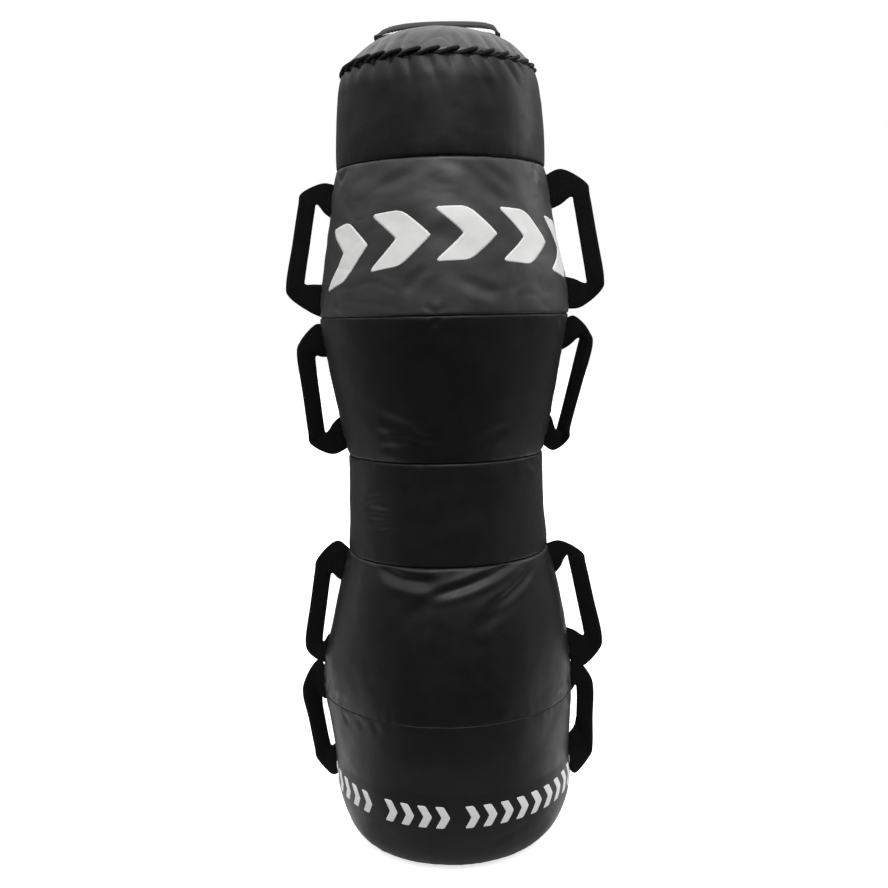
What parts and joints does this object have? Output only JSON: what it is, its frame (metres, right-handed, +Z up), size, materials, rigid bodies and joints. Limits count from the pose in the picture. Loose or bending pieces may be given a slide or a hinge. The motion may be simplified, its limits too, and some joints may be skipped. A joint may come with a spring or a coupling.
{
  "type": "grappling dummy",
  "caption": "Free-standing stuffed grappling dummy: waisted round bag of sewn panels, laced domed cap, webbing handle on top and sewn webbing grips down both sides.",
  "frame": {"origin": "middle of the flat base, at the surface the dummy stands on", "axes": "+Z up along the dummy's own axis, +X to the right-hand side seam, -Y the front"},
  "size_m": [0.4811, 0.3786, 1.235],
  "materials": {
    "cover_vinyl": "satin",
    "webbing": "matt woven",
    "lace_cord": "matt braided",
    "foam": "open cell",
    "liner_cloth": "woven",
    "liner_cord": "braided",
    "filling": "packed cuttings",
    "ballast": "rubberised cloth"
  },
  "bodies": {
    "bag": {"base_panel_front": "cover_vinyl", "base_panel_back": "cover_vinyl", "base_foam": "foam", "hip_panel_front": "cover_vinyl", "hip_panel_back": "cover_vinyl", "hip_foam": "foam", "waist_panel_front": "cover_vinyl", "waist_panel_back": "cover_vinyl", "waist_foam": "foam", "chest_panel_front": "cover_vinyl", "chest_panel_back": "cover_vinyl", "chest_foam": "foam", "shoulder_panel_front": "cover_vinyl", "shoulder_panel_back": "cover_vinyl", "shoulder_foam": "foam", "head_panel_front": "cover_vinyl", "head_panel_back": "cover_vinyl", "head_foam": "foam", "top_cap": "cover_vinyl", "bottom_disc": "cover_vinyl", "closure_lace": "lace_cord", "lace_knot": "lace_cord", "dust_flap": "cover_vinyl", "base_foam_pad": "foam", "top_foam_pad": "foam", "liner_bag": "liner_cloth", "liner_drawcord": "liner_cord", "ballast_bag_lower": "ballast", "ballast_bag_upper": "ballast", "textile_filling": "filling", "top_handle": "webbing"},
    "handle_left_shoulder": {"handle_left_shoulder": "webbing"},
    "handle_right_shoulder": {"handle_right_shoulder": "webbing"},
    "handle_left_chest": {"handle_left_chest": "webbing"},
    "handle_right_chest": {"handle_right_chest": "webbing"},
    "handle_left_hip": {"handle_left_hip": "webbing"},
    "handle_right_hip": {"handle_right_hip": "webbing"},
    "handle_left_base": {"handle_left_base": "webbing"},
    "handle_right_base": {"handle_right_base": "webbing"}
  },
  "joints": [
    {"name": "swing_left_shoulder", "type": "hinge", "parent": "bag", "child": "handle_left_shoulder", "pos_m": [-0.17646, 0, 0.905], "axis": [0.1422, 0, 0.9898], "range_deg": [-60, 60], "stiffness_Nm_per_rad": 0.08},
    {"name": "swing_right_shoulder", "type": "hinge", "parent": "bag", "child": "handle_right_shoulder", "pos_m": [0.17552, 0, 0.9115], "axis": [-0.1436, 0, 0.9896], "range_deg": [-60, 60], "stiffness_Nm_per_rad": 0.08},
    {"name": "swing_left_chest", "type": "hinge", "parent": "bag", "child": "handle_left_chest", "pos_m": [-0.1731, 0, 0.704], "axis": [-0.1785, 0, 0.9839], "range_deg": [-60, 60], "stiffness_Nm_per_rad": 0.08},
    {"name": "swing_right_chest", "type": "hinge", "parent": "bag", "child": "handle_right_chest", "pos_m": [0.1731, 0, 0.704], "axis": [0.1785, 0, 0.9839], "range_deg": [-60, 60], "stiffness_Nm_per_rad": 0.08},
    {"name": "swing_left_hip", "type": "hinge", "parent": "bag", "child": "handle_left_hip", "pos_m": [-0.18039, 0, 0.359], "axis": [0.1822, 0, 0.9833], "range_deg": [-60, 60], "stiffness_Nm_per_rad": 0.08},
    {"name": "swing_right_hip", "type": "hinge", "parent": "bag", "child": "handle_right_hip", "pos_m": [0.18011, 0, 0.3605], "axis": [-0.1842, 0, 0.9829], "range_deg": [-60, 60], "stiffness_Nm_per_rad": 0.08},
    {"name": "swing_left_base", "type": "hinge", "parent": "bag", "child": "handle_left_base", "pos_m": [-0.19054, 0, 0.173], "axis": [-0.0447, 0, 0.999], "range_deg": [-60, 60], "stiffness_Nm_per_rad": 0.08},
    {"name": "swing_right_base", "type": "hinge", "parent": "bag", "child": "handle_right_base", "pos_m": [0.19057, 0, 0.174], "axis": [0.0455, 0, 0.999], "range_deg": [-60, 60], "stiffness_Nm_per_rad": 0.08}
  ]
}
